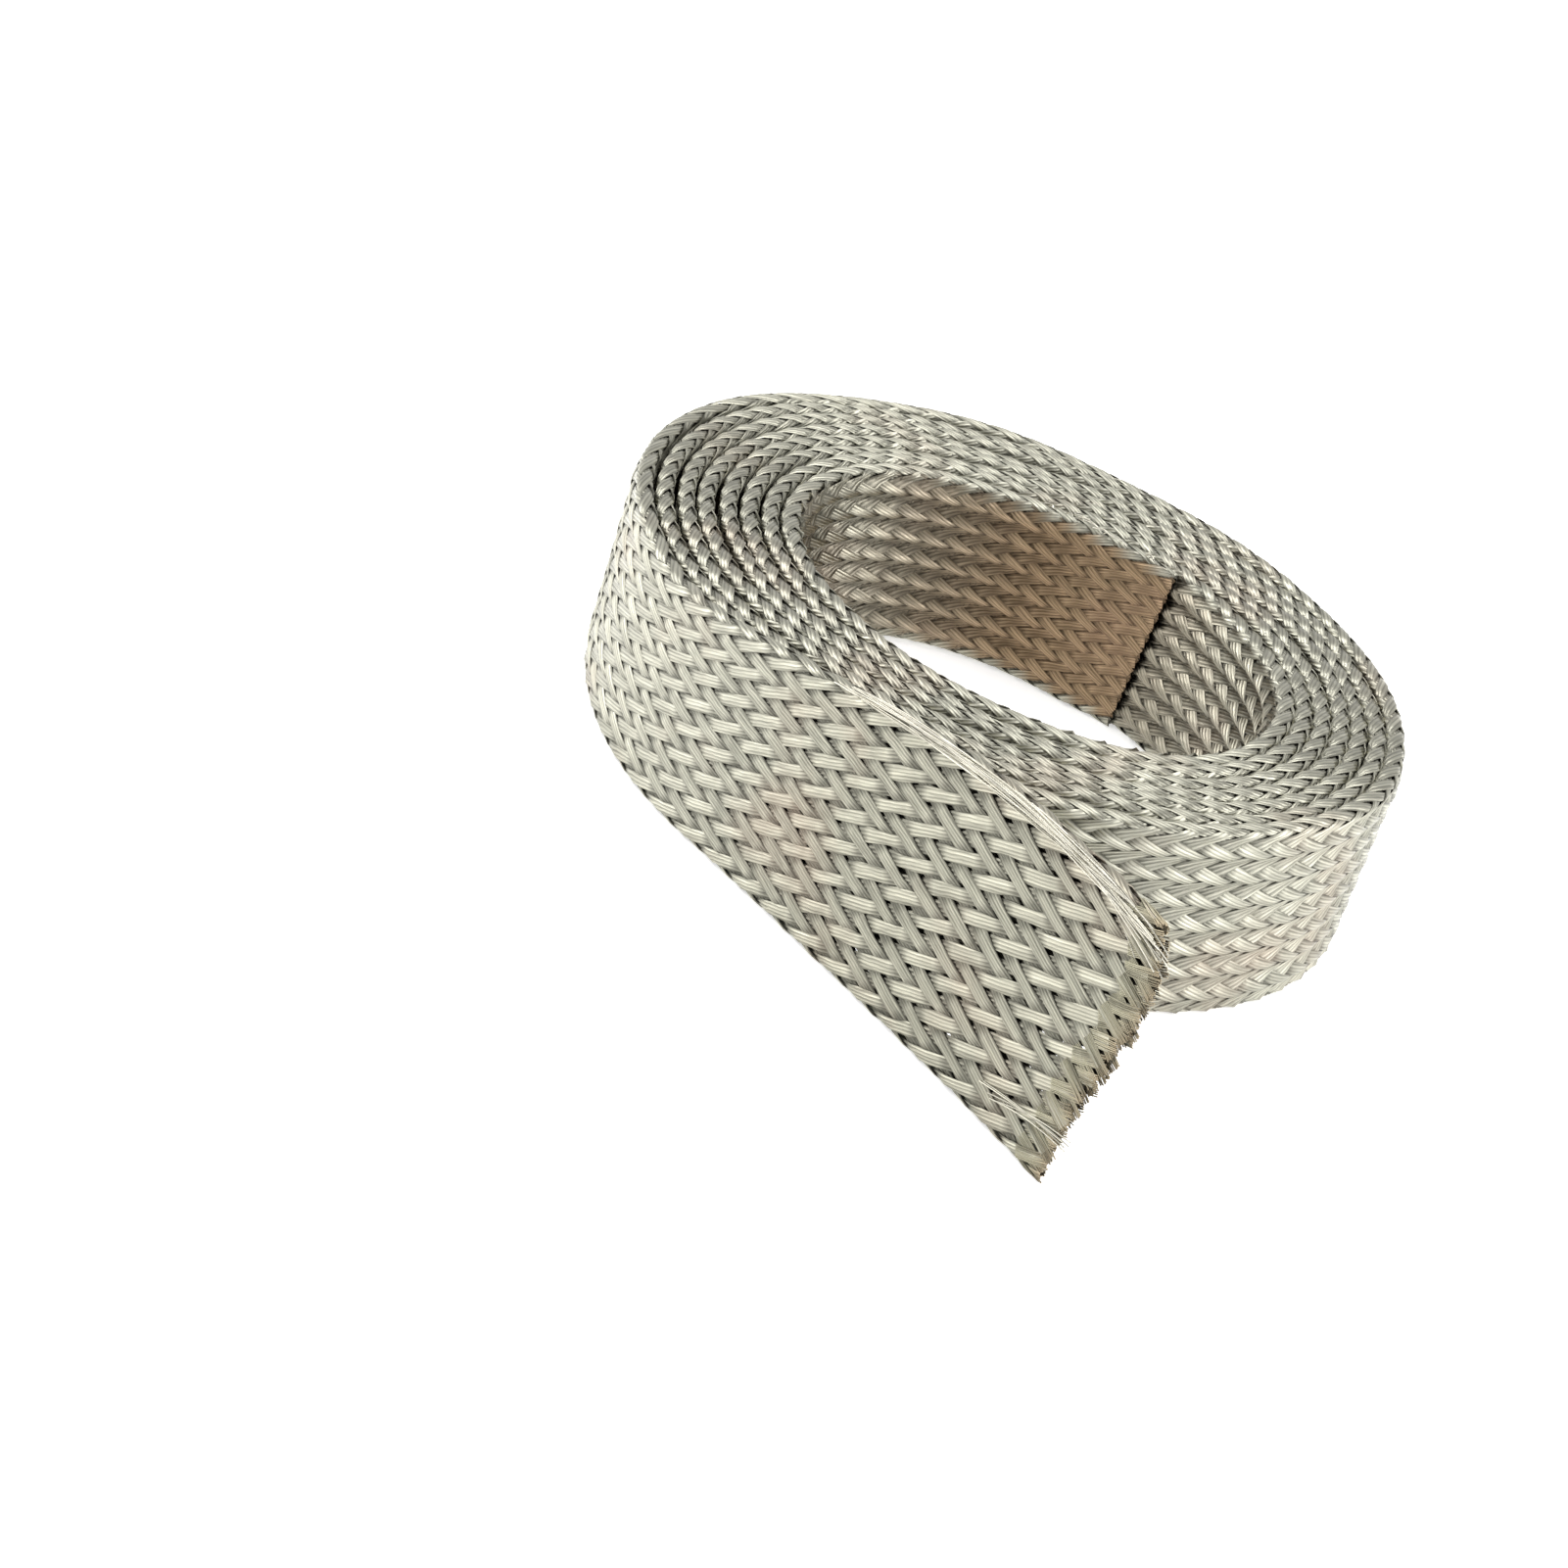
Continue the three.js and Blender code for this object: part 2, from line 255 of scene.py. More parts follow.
class Section:
    """The flattened tube's wall across the tape, by stripe: up the outer face, over, down the inner face."""

    def __init__(self):
        fold = np.array(FOLD)
        t = np.linspace(0, 1, 41)
        depth = np.interp(t, fold[:, 0], fold[:, 1])
        height = np.interp(t, fold[:, 0], fold[:, 2])
        t = np.concatenate((t, 2 - t[-2::-1]))
        depth = np.concatenate((depth, -depth[-2::-1])) * MM
        height = np.concatenate((height, height[-2::-1])) * MM - EDGE_INSET
        rows = [np.stack((t + FACE_STRIPES, depth, np.ones_like(t), height), -1)]
        rows.append(np.stack((t + 2 * FACE_STRIPES + EDGE_STRIPES, -depth, np.zeros_like(t), -height), -1))
        table = np.concatenate(rows)
        table = np.concatenate((table[-41:] - (STRIPES, 0, 0, 0), table, table[:41] + (STRIPES, 0, 0, 0)))
        fine = np.arange(-1.5, STRIPES + 1.5, 0.02)
        columns = [np.interp(fine, table[:, 0], table[:, c]) for c in (1, 2, 3)]
        kernel = np.hanning(11) / np.hanning(11).sum()
        self.stripe = fine
        self.depth, self.rise, self.drop = [np.convolve(c, kernel, "same") for c in columns]

    def at(self, stripe, width, lift):
        """Depth and height at a stripe, lifted off the wall's middle."""
        wrapped = np.mod(stripe, STRIPES)
        depth, height = self.flat(wrapped, width)
        step = 0.06
        before = self.flat(wrapped - step, width)
        after = self.flat(wrapped + step, width)
        along = np.stack((after[0] - before[0], after[1] - before[1]))
        along = along / np.linalg.norm(along, axis=0)
        return depth + lift * along[1], height - lift * along[0]

    def flat(self, stripe, width):
        depth = np.interp(stripe, self.stripe, self.depth)
        rise = np.interp(stripe, self.stripe, self.rise)
        return depth, rise * width + np.interp(stripe, self.stripe, self.drop)

    def stripe_width(self, width):
        """The real width of one stripe: wider on the faces of the spread tail."""
        return (width - 2 * EDGE_INSET - 2 * EDGE_START) / FACE_STRIPES


class Sway:
    """Smooth seeded wandering of each strand along its run."""

    def __init__(self, seed, count, wavelengths):
        random = np.random.default_rng(seed)
        self.phases = random.uniform(0, FULL_TURN, (len(wavelengths), count))
        self.wavelengths = np.array(wavelengths)

    def at(self, index, length):
        total = 0
        for phase, wave in zip(self.phases, self.wavelengths):
            total = total + np.sin(FULL_TURN * length / wave + phase[index])
        return total / math.sqrt(len(self.wavelengths))


class Mesh:
    """Vertices, polygons and strand coordinates, gathered before they become one object."""

    def __init__(self):
        self.points = []
        self.uvs = []
        self.tones = []
        self.rims = []
        self.quads = []
        self.caps = []
        self.count = 0

    def add(self, points, uvs, quads, caps=(), tones=(0, 0, 0), rims=0):
        """Takes points with wire coordinates, (dull, warm, painted shade) tones and the rim that each is on.
        """
        self.points.append(points)
        self.uvs.append(uvs)
        self.tones.append(np.broadcast_to(tones, (len(points), 3)))
        self.rims.append(np.broadcast_to(rims, len(points)))
        self.quads.append(np.asarray(quads, dtype=np.int64).reshape(-1, 4) + self.count)
        self.caps.extend(cap + self.count for cap in caps)
        self.count += len(points)

    def build(self, name, material):
        points = np.concatenate(self.points)
        uvs = np.concatenate(self.uvs)
        quads = np.concatenate(self.quads)
        used, quads, caps = self.compact(points, quads)
        points, uvs = points[used], uvs[used]
        tones = np.concatenate(self.tones)[used]
        corners = np.concatenate([quads.ravel()] + [c for c in caps])
        sizes = np.concatenate((np.full(len(quads), 4), [len(c) for c in caps])).astype(np.int32)
        mesh = bpy.data.meshes.new(name)
        mesh.vertices.add(len(points))
        mesh.vertices.foreach_set("co", points.astype(np.float32).ravel())
        mesh.loops.add(len(corners))
        mesh.loops.foreach_set("vertex_index", corners.astype(np.int32))
        mesh.polygons.add(len(sizes))
        starts = np.concatenate(((0,), np.cumsum(sizes)[:-1])).astype(np.int32)
        mesh.polygons.foreach_set("loop_start", starts)
        mesh.polygons.foreach_set("use_smooth", np.ones(len(sizes), dtype=bool))
        mesh.update(calc_edges=True)
        self.sharpen(mesh, np.concatenate(self.rims)[used], quads.size)
        # The dull and warm tones and the painted shade tone go to the material
        for column, tone in enumerate(("dull", "warm", "painted_shade")):
            values = mesh.attributes.new(tone, "FLOAT", "POINT")
            values.data.foreach_set("value", tones[:, column].astype(np.float32))
        layer = mesh.uv_layers.new(name="wires")
        places = uvs[corners]
        # The cut faces of the strands are spread on the map too, so that their gloss has a direction
        places[quads.size:, 1] += points[corners[quads.size:], 2] / MM
        layer.data.foreach_set("uv", places.astype(np.float32).ravel())
        mesh.materials.append(material)
        piece = bpy.data.objects.new(name, mesh)
        bpy.context.scene.collection.objects.link(piece)
        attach(piece, "root")
        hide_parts("braid")
        return piece

    @staticmethod
    def sharpen(mesh, rims, cap_start):
        """Keeps the long edges of the flat strands crisp, and the edges of their ends."""
        ends = np.zeros(2 * len(mesh.edges), dtype=np.int32)
        mesh.edges.foreach_get("vertices", ends)
        first, second = rims[ends[::2]], rims[ends[1::2]]
        sharp = (first == second) & (first > 0)
        edges = np.zeros(len(mesh.loops), dtype=np.int32)
        mesh.loops.foreach_get("edge_index", edges)
        sharp[edges[cap_start:]] = True
        mesh.edges.foreach_set("use_edge_sharp", sharp)

    def compact(self, points, quads):
        """Drops the points that no face uses."""
        keep = np.zeros(len(points), dtype=bool)
        keep[quads.ravel()] = True
        for cap in self.caps:
            keep[cap] = True
        renumber = np.cumsum(keep) - 1
        return keep, renumber[quads], [renumber[cap] for cap in self.caps]


class Weave:
    """All strands of the tube, laid out by the length of tape and the stripe that they cross."""

    def __init__(self, sizes):
        self.sizes = sizes
        self.line = TapeLine(sizes)
        self.section = Section()
        self.sways = {way: Sway(11 + way, STRIPES, (23 * MM, 9 * MM, 41 * MM)) for way in (1, -1)}
        self.edge_sway = Sway(53, 3, (61 * MM, 37 * MM, 149 * MM))
        # How much longer or shorter than the cut line each strand ends
        self.ragged = np.random.default_rng(7).uniform(-0.45, 0.4, STRIPES) * MM
        self.bulges = {way: Sway(31 + way, STRIPES, (13 * MM, 5.3 * MM, 7.7 * MM)) for way in (1, -1)}
        # The weave is drawn out over the last turn: the period by length, and the periods run up to there
        self.lengths = np.linspace(-2 * LEAD_LENGTH, self.line.end + PAST_END, 6000)
        drawn = smoothstep(self.line.column(self.line.angles, self.lengths), *DRAWN_OUT)
        self.periods = sizes.period + (sizes.tail_period - sizes.period) * drawn
        self.runs = np.concatenate(((0,), np.cumsum(np.diff(self.lengths) / self.periods[1:])))
        self.runs -= np.interp(0, self.lengths, self.runs)

    def periods_to(self, length):
        """How many weave periods of tape lie before a length."""
        return np.interp(length, self.lengths, self.runs)

    def looseness(self, length):
        """0 on the tight coil and 1 on the spread tail."""
        return smoothstep(length, self.line.coil_end - 10 * MM, self.line.coil_end + 25 * MM)

    def float_height(self, stripe, way):
        """1 where the strand floats on top and -1 where it is covered, with short dives between."""
        wave = -way * np.sin(math.pi * (stripe - 0.5))
        return wave / np.sqrt(wave * wave + DIVE_SHARPNESS) * math.sqrt(1 + DIVE_SHARPNESS)

    def strands(self, mesh, start, end, shown, steps, ridges, lens=LENS):
        """Adds both ways of strands between two lengths, where shown(stripe, length) says so."""
        for way in (1, -1):
            self.one_way(mesh, way, start, end, shown, steps, ridges, lens)

    def one_way(self, mesh, way, start, end, shown, steps, ridges, lens):
        first, last = self.periods_to(np.array((start, end)))
        run = (np.arange(math.floor(first * steps), math.ceil(last * steps)) + 0.5) / steps
        run = run[(run > first + 0.3 / steps) & (run < last - 0.3 / steps)]
        run = np.concatenate(((first,), run, (last,)))
        index = np.arange(STRIPES)
        centre = index[:, None] + CROSSING + way * run[None, :]
        length = np.broadcast_to(np.interp(run, self.runs, self.lengths), centre.shape)
        points, uvs = self.strand_points(way, index[:, None], centre, length, ridges, lens)
        tones = self.tones(way, centre, length, ridges, lens)
        kept = shown(np.mod(centre, STRIPES), length)
        kept = kept[:, :-1] & kept[:, 1:]
        add_strips(mesh, points, uvs, kept, way, tones, rims=(0, len(lens) - 2))

    def strand_points(self, way, index, centre, length, ridges, lens):
        sizes = self.sizes
        width = self.line.width(length)
        stripe_width = self.section.stripe_width(width)
        turn = np.arctan2(stripe_width, np.interp(length, self.lengths, self.periods))
        spacing = stripe_width * np.cos(turn)
        loose = self.looseness(length)
        on_edge = self.edge_share(centre)
        opening = (1 + np.cos(math.pi * (centre - 0.5))) / 2
        at_ends = self.at_ends(length)
        # The share of the strands' spacing that stays open, most at the holes and on the folded edges
        gap = 0.11 * opening - 0.03 + (0.18 - 0.05 * at_ends) * on_edge
        widest = sizes.strand_width * (1 + (0.06 + 0.06 * loose) * self.bulges[way].at(index, length))
        wide = np.minimum(spacing * (1 - gap), widest)
        sway = self.sways[way].at(index, length) * (0.05 + 0.08 * loose) * MM
        bulge = 1 + (0.12 + 0.15 * loose) * self.bulges[way].at(index, length * 0.7)
        rise = STRAND_RISE * (1 + on_edge * (0.4 - 0.5 * at_ends)) * self.float_height(centre, way) * bulge
        across = wide[..., None] / 2 * lens[:, 0] + sway[..., None]
        stripe = centre[..., None] + across * np.cos(turn)[..., None] / stripe_width[..., None]
        along = length[..., None] - way * across * np.sin(turn)[..., None]
        ridge = self.ridge(ridges, length)
        hill = ridge[..., None] * (1 - np.cos(math.pi * stripe)) / 2 * (1 - on_edge[..., None])
        lift = rise[..., None] + sizes.strand_thickness / 2 * lens[:, 1] + hill
        depth, height = self.section.at(stripe, self.line.width(along), lift)
        share = height / self.line.width(along)
        slant = END_SLANT * (0.5 - share) * (1 - smoothstep(along, 0, 9 * MM))
        depth, height = self.wander(along, depth, height, share)
        along = np.clip(along + slant, -LEAD_LENGTH, self.line.end + 10 * MM)
        points = self.line.place(along, depth, height)
        # Each strand has a place of its own on the map, and the two ways lie far apart on it
        u = across / MM + index[..., None] * 7.3 + 300 * (way > 0)
        v = np.broadcast_to(length[..., None] / np.cos(turn)[..., None] / MM, u.shape)
        return points, np.stack((u, v), -1)

    def at_ends(self, length):
        """1 where the coil bends tightly, at its left and right ends, and 0 on its long sides and tail."""
        angle = self.line.column(self.line.angles, length)
        return smoothstep(np.abs(np.cos(angle)), 0.25, 0.9)

    def ridge(self, ridges, length):
        """How far the ropes stand out: more in the tight bends and where the inner end is met."""
        first_turn = self.line.length_at(FIRST_ANGLE + FULL_TURN)
        meets = smoothstep(length, first_turn - 50 * MM, first_turn - 25 * MM)
        meets = meets * (1 - smoothstep(length, first_turn - 4 * MM, first_turn + 2 * MM))
        return ridges[0] + (ridges[1] - ridges[0]) * np.maximum(self.at_ends(length), 0.8 * meets)

    def tones(self, way, centre, length, ridges, lens):
        """How dull the tin is, how warm its copper tone is and how much painted shade it takes, for each ring
        point.
        """
        stripe = np.mod(centre, STRIPES)
        inner_face = smoothstep(stripe, FACE_STRIPES + 1.6, FACE_STRIPES + 2.4)
        inner_face = inner_face * (1 - smoothstep(stripe, STRIPES - 2.4, STRIPES - 1.6))
        first_turn = self.line.length_at(FIRST_ANGLE + FULL_TURN)
        in_eye = inner_face * (1 - smoothstep(length, first_turn, first_turn + LAP))
        near_cut = 1 - smoothstep(length, 15 * MM, 48 * MM)
        before_cut = smoothstep(length, first_turn - 24 * MM, first_turn - 2 * MM)
        # Copper tone on the inner face, strongest by the inner end: a painted reflection of copper, with
        # painted shade, inside the eye
        warm = in_eye * np.maximum(0.1 + 0.9 * near_cut, 0.25 * before_cut)
        # The tin is drawn greyer on the spread tail; inside the eye a little grey is added as painted shade
        dull = 0.1 * in_eye + 0.35 * self.looseness(length)
        # Painted shade: where a strand dives under the next, in the grooves between the ropes (strongest on
        # the inner face), and along each strand's rims and underside
        dive = smoothstep(-self.float_height(centre, way), -0.8, 0.2)
        at_ends = self.at_ends(length)
        ridge = self.ridge(ridges, length)
        valley = ((1 + np.cos(math.pi * stripe)) / 2) ** 1.5 * np.minimum(1, ridge / (0.6 * MM))
        valley = valley * (0.25 + 0.5 * inner_face) * (1 - self.edge_share(centre))
        rim = 1 - np.clip(lens[:, 1], 0, 1)
        painted_shade = np.maximum(np.maximum(0.8 * dive, valley)[..., None], 0.9 * rim)
        # Less painted shade on the folded edges in the tight bends
        painted_shade = painted_shade * (1 - (0.6 * at_ends * self.edge_share(centre))[..., None])
        return np.stack(np.broadcast_arrays(dull[..., None], warm[..., None], painted_shade), -1)

    def wander(self, length, depth, height, share):
        """The soft edges swell and stand a little up or down and aside, differently along the tape."""
        upper = smoothstep(share, 0.55, 1)
        lower = smoothstep(-share, -0.45, 0)
        folds = smoothstep(share, 0.85, 0.96) + smoothstep(-share, -0.13, -0.03)
        ends = self.at_ends(length)
        angle = self.line.column(self.line.angles, length)
        slipped = 0
        for turn in SLIPPED_TURNS:
            slipped = slipped + smoothstep(-np.abs(angle - math.pi - turn * FULL_TURN), -0.9, -0.3)
        aside = (0.1 * self.edge_sway.at(0, length) - 0.22 * slipped) * MM
        up = (0.26 * self.edge_sway.at(1, length) - 0.15) * MM
        swell = 1 + folds * (0.11 + 0.14 * ends + 0.07 * self.edge_sway.at(2, length))
        depth = self.flatten_end(depth * swell, length)
        depth = depth + upper * aside - lower * 0.6 * aside
        return depth, height + upper * up

    def flatten_end(self, depth, length):
        """Both ends are pressed thin: the inner one against the turn outside it, the tail by its cut."""
        outside = self.sizes.thickness / 2
        inner = 0.3 + 0.7 * smoothstep(length, -1 * MM, 10 * MM)
        cut = 0.35 + 0.65 * smoothstep(self.line.end + 2 * MM - length, -1 * MM, 9 * MM)
        return outside - (outside - depth) * inner * cut

    def edge_share(self, stripe):
        """1 on the folded edges and 0 on the faces."""
        wrapped = np.mod(stripe, STRIPES / 2)
        inside = smoothstep(wrapped, FACE_STRIPES - 0.5, FACE_STRIPES + 0.3)
        before_next = 1 - smoothstep(wrapped, STRIPES / 2 - 0.3, STRIPES / 2)
        return inside * before_next + smoothstep(-wrapped, -0.2, 0)

    def end_reach(self, stripe):
        """How far the tail's cut reaches past its foot, by where it is across the tape."""
        width = self.line.full_width
        share = np.clip(self.section.flat(np.mod(stripe, STRIPES), width)[1] / width, 0, 1)
        return CUT_SLANT * share + CUT_BULGE * np.sin(math.pi * share ** 2)

    def wires(self, mesh, way, tips, thread, seed):
        """Adds the cut ends of all strands one way: single wires that end at each strand's tip."""
        random = np.random.default_rng(seed)
        t = np.linspace(0, 1, 7)
        index = np.arange(STRIPES)[:, None]
        length = tips[:, None] + FRAY_ROOT * (t - 1)[None, :]
        centre = index + CROSSING + way * self.periods_to(length)
        lens = np.stack((np.linspace(-0.9, 0.9, CUT_WIRES), random.uniform(0.2, 1.1, CUT_WIRES)), -1)
        points, uvs = self.strand_points(way, index, centre, length, (0, 0), lens)
        wires = np.moveaxis(points, 2, 1).reshape(STRIPES * CUT_WIRES, len(t), 3)
        reach = random.uniform(0.96, 1.02, len(wires))
        wires = wires[:, :1] + (wires - wires[:, :1]) * reach[:, None, None]
        drift = random.normal(0, FRAY_SPREAD, (len(wires), 3))
        curl = random.normal(0, FRAY_SPREAD * 0.35, (len(wires), 3))
        bow = np.sin(math.pi * t)[None, :, None] * curl[:, None]
        wires = wires + drift[:, None] * (t ** 2)[None, :, None] + bow
        wires[..., 2] = np.maximum(wires[..., 2], thread / 2)
        # The cut wires are dull, take copper tone towards their tips, and painted shade that grows a little
        # towards the tips
        tones = np.stack((1 + 0 * t, 0.4 * t ** 3, 0.15 + 0.1 * t ** 4), -1)
        add_tubes(mesh, wires, thread, tones[None, :, None])


def add_strips(mesh, points, uvs, kept, way, tones, rims=()):
    """Adds closed strips of rings, with end caps, for the stretches between stations that are kept."""
    strands, stations, ring = points.shape[:3]
    number = np.arange(strands * stations * ring).reshape(strands, stations, ring)
    here, there = number[:, :-1], number[:, 1:]
    beside = np.roll(here, -1, 2), np.roll(there, -1, 2)
    quads = np.stack((here, there, beside[1], beside[0]), -1)
    if way > 0:
        quads = quads[..., ::-1]
    quads = quads[kept]
    starts = kept.copy()
    starts[:, 1:] &= ~kept[:, :-1]
    ends = kept.copy()
    ends[:, :-1] &= ~kept[:, 1:]
    front = number[:, :-1][starts]
    back = number[:, 1:][ends]
    caps = list(front if way > 0 else front[:, ::-1]) + list(back[:, ::-1] if way > 0 else back)
    tones = np.broadcast_to(tones, (strands, stations, ring, 3)).reshape(-1, 3)
    marks = np.zeros(ring, dtype=int)
    for mark, corner in enumerate(rims):
        marks[corner] = mark + 1
    marks = np.tile(marks, strands * stations)
    mesh.add(points.reshape(-1, 3), uvs.reshape(-1, 2), quads, caps, tones, marks)


def add_tubes(mesh, paths, thread, tones):
    """Adds closed four-sided wires of one diameter along an array of paths."""
    tangent = np.gradient(paths, axis=1)
    tangent = tangent / np.linalg.norm(tangent, axis=-1, keepdims=True)
    aside = np.cross(tangent, (0.31, 0.93, 0.2))
    aside = aside / np.linalg.norm(aside, axis=-1, keepdims=True)
    above = np.cross(tangent, aside)
    rings = []
    for corner in range(4):
        angle = FULL_TURN * corner / 4
        rings.append(paths + thread / 2 * (math.cos(angle) * aside + math.sin(angle) * above))
    points = np.stack(rings, 2)
    uvs = np.zeros(points.shape[:3] + (2,))
    uvs[..., 0] = np.arange(len(paths))[:, None, None] * 0.37 + np.arange(4) * 0.02
    uvs[..., 1] = np.arange(paths.shape[1])[None, :, None] * 0.7
    kept = np.ones((len(paths), paths.shape[1] - 1), dtype=bool)
    add_strips(mesh, points, uvs, kept, 1, tones)


def add_node(tree, kind, links=(), **settings):
    """Adds a shader node, sets its fields and sockets, and links what is given as (socket, output)."""
    node = tree.nodes.new(kind)
    for name, value in settings.items():
        if hasattr(node, name):
            setattr(node, name, value)
        else:
            node.inputs[name.replace("_", " ").title()].default_value = value
    for socket, output in links:
        tree.links.new(output, node.inputs[socket])
    return node


def new_material(name):
    material = bpy.data.materials.new(name)
    material.use_nodes = True
    tree = material.node_tree
    tree.nodes.clear()
    return material, tree


def tinned_wire(colours, name, clean_tin, shade, patchy, anisotropic):
    """Hot-tinned copper wire, drawn and plaited: a soft metal sheen, pink where the tin is thin.

    Wires lie side by side in each strand, so the gloss is broken into fine lines along it. The dull and warm
    tones and the shade tone of each point say where the tin is grey, where copper tone warms it, partly as a
    painted reflection, and where painted shade darkens it.
    """
    material, tree = new_material(name)
    uv = add_node(tree, "ShaderNodeUVMap", uv_map="wires")
    place = add_node(tree, "ShaderNodeTexCoord")
    # One ridge for each wire. The wave node repeats 20 / (2 pi) times in a unit of this map, which is 1 mm
    wires = add_node(
        tree, "ShaderNodeTexWave", [("Vector", uv.outputs["UV"])], wave_type="BANDS", bands_direction="X",
        wave_profile="SIN"
    )
    wires.inputs["Scale"].default_value = FULL_TURN / (20 * WIRE_SPACING)
    wires.inputs["Distortion"].default_value = 1.6
    wires.inputs["Detail"].default_value = 1
    wires.inputs["Detail Scale"].default_value = 0.35
    # Streaks one or two wires wide and some floats long
    stretch = add_node(tree, "ShaderNodeMapping", [("Vector", uv.outputs["UV"])])
    stretch.inputs["Scale"].default_value = (1 / 0.45, 1 / 9, 1)
    streaks = add_node(tree, "ShaderNodeTexNoise", [("Vector", stretch.outputs["Vector"])])
    streaks.inputs["Scale"].default_value = 1
    streaks.inputs["Detail"].default_value = 2
    # Patches of duller tin 10 to 20 mm across
    patches = add_node(tree, "ShaderNodeTexNoise", [("Vector", place.outputs["Object"])])
    patches.inputs["Scale"].default_value = 70
    patches.inputs["Detail"].default_value = 3
    dull = add_node(tree, "ShaderNodeAttribute", attribute_name="dull")
    warm = add_node(tree, "ShaderNodeAttribute", attribute_name="warm")
    painted_shade = add_node(tree, "ShaderNodeAttribute", attribute_name="painted_shade")
    clean = add_node(tree, "ShaderNodeMix", [(0, dull.outputs["Fac"])], data_type="RGBA")
    clean.inputs[6].default_value = (*clean_tin, 1)
    clean.inputs[7].default_value = (*colours.dull_tin, 1)
    # Copper tone, partly a painted reflection of copper inside the eye
    tinned = add_node(
        tree, "ShaderNodeMix", [(0, warm.outputs["Fac"]), (6, clean.outputs[2])], data_type="RGBA"
    )
    tinned.inputs[7].default_value = (*colours.copper_tint_and_reflection, 1)
    # Grey streaks, a line of painted shade between each wire and the next, and the painted shade of the
    # hollows
    streak = add_node(tree, "ShaderNodeMapRange", [("Value", streaks.outputs["Fac"])])
    streak.inputs["From Min"].default_value = 0.3
    streak.inputs["From Max"].default_value = 0.7
    streak.inputs["To Min"].default_value = 1
    streak.inputs["To Max"].default_value = 1 - shade
    line = add_node(tree, "ShaderNodeMapRange", [("Value", wires.outputs["Fac"])])
    line.inputs["From Max"].default_value = 0.55
    line.inputs["To Min"].default_value = 0.6
    line.inputs["To Max"].default_value = 1
    # Painted shade from the points' shade tone
    depth = add_node(tree, "ShaderNodeMapRange", [("Value", painted_shade.outputs["Fac"])])
    depth.inputs["To Min"].default_value = 1
    depth.inputs["To Max"].default_value = 1 - PAINTED_HOLLOW_SHADE
    both = add_node(
        tree, "ShaderNodeMath", [(0, streak.outputs["Result"]), (1, line.outputs["Result"])],
        operation="MULTIPLY"
    )
    both = add_node(
        tree, "ShaderNodeMath", [(0, both.outputs[0]), (1, depth.outputs["Result"])], operation="MULTIPLY"
    )
    grey = add_node(
        tree, "ShaderNodeMix", [(6, tinned.outputs[2]), (7, both.outputs[0])], data_type="RGBA",
        blend_type="MULTIPLY"
    )
    grey.inputs[0].default_value = 1
    copper = add_node(tree, "ShaderNodeMapRange", [("Value", patches.outputs["Fac"])])
    copper.inputs["From Min"].default_value = 0.5
    copper.inputs["From Max"].default_value = 0.8
    copper.inputs["To Max"].default_value = patchy
    tint = add_node(
        tree, "ShaderNodeMix", [(0, copper.outputs["Result"]), (6, grey.outputs[2])], data_type="RGBA"
    )
    tint.inputs[7].default_value = (*colours.copper, 1)
    rough = add_node(tree, "ShaderNodeMapRange", [("Value", streaks.outputs["Fac"])])
    rough.inputs["To Min"].default_value = 0.34
    rough.inputs["To Max"].default_value = 0.52
    bump = add_node(tree, "ShaderNodeBump", [("Height", wires.outputs["Fac"])])
    bump.inputs["Strength"].default_value = 0.7
    bump.inputs["Distance"].default_value = 0.09 * MM
    # The wires spread their gloss across the strand, so the two ways of strands differ in brightness
    across = add_node(tree, "ShaderNodeTangent", direction_type="UV_MAP", uv_map="wires")
    shader = add_node(
        tree, "ShaderNodeBsdfPrincipled",
        [("Base Color", tint.outputs[2]), ("Roughness", rough.outputs["Result"]),
         ("Normal", bump.outputs["Normal"]), ("Tangent", across.outputs["Tangent"])]
    )
    shader.inputs["Metallic"].default_value = 1
    shader.inputs["Anisotropic"].default_value = anisotropic
    add_node(tree, "ShaderNodeOutputMaterial", [("Surface", shader.outputs["BSDF"])])
    return material


def pale_floor(colours):
    """Matt seamless paper, pale: it keeps the soft shadow and is white to the eye and in reflections."""
    material, tree = new_material("pale seamless paper, matt")
    path = add_node(tree, "ShaderNodeLightPath")
    diffuse = add_node(tree, "ShaderNodeBsdfDiffuse")
    diffuse.inputs["Color"].default_value = (*colours.floor, 1)
    seen = add_node(
        tree, "ShaderNodeMath", [(0, path.outputs["Is Camera Ray"]), (1, path.outputs["Is Glossy Ray"])],
        operation="MAXIMUM"
    )
    seen = add_node(
        tree, "ShaderNodeMath", [(0, seen.outputs[0]), (1, path.outputs["Is Transmission Ray"])],
        operation="MAXIMUM"
    )
    strength = add_node(tree, "ShaderNodeMath", [(0, seen.outputs[0])], operation="MULTIPLY")
    strength.inputs[1].default_value = FLOOR_GLOW
    glow = add_node(tree, "ShaderNodeEmission", [("Strength", strength.outputs[0])])
    both = add_node(tree, "ShaderNodeAddShader", [(0, diffuse.outputs[0]), (1, glow.outputs[0])])
    add_node(tree, "ShaderNodeOutputMaterial", [("Surface", both.outputs[0])])
    return material


def materials(colours):
    """The finishes by name, made once."""
    if "made" not in STORE:
        STORE["made"] = {
            "plaited": tinned_wire(colours, "tinned copper wire, plaited", colours.tin, 0.4, 0.25, 0.8),
            # The loose wires take the lighter tin, a painted highlight
            "loose": tinned_wire(colours, "tinned copper wire, loose", colours.painted_highlight_tin, 0.1, 0, 0),
        }
    return STORE["made"]


STORE = {}


def weave_of(context):
    if "weave" not in STORE:
        STORE["weave"] = Weave(context.scene.tape_sizes)
    return STORE["weave"]


def on_outside(stripe, length):
    """The outer face and both folded edges."""
    return (stripe < FACE_STRIPES + 3) | (stripe > STRIPES - 3)


def on_inside(stripe, length):
    """The inner face and both folded edges."""
    return (stripe > FACE_STRIPES - 1) | (stripe < 1)


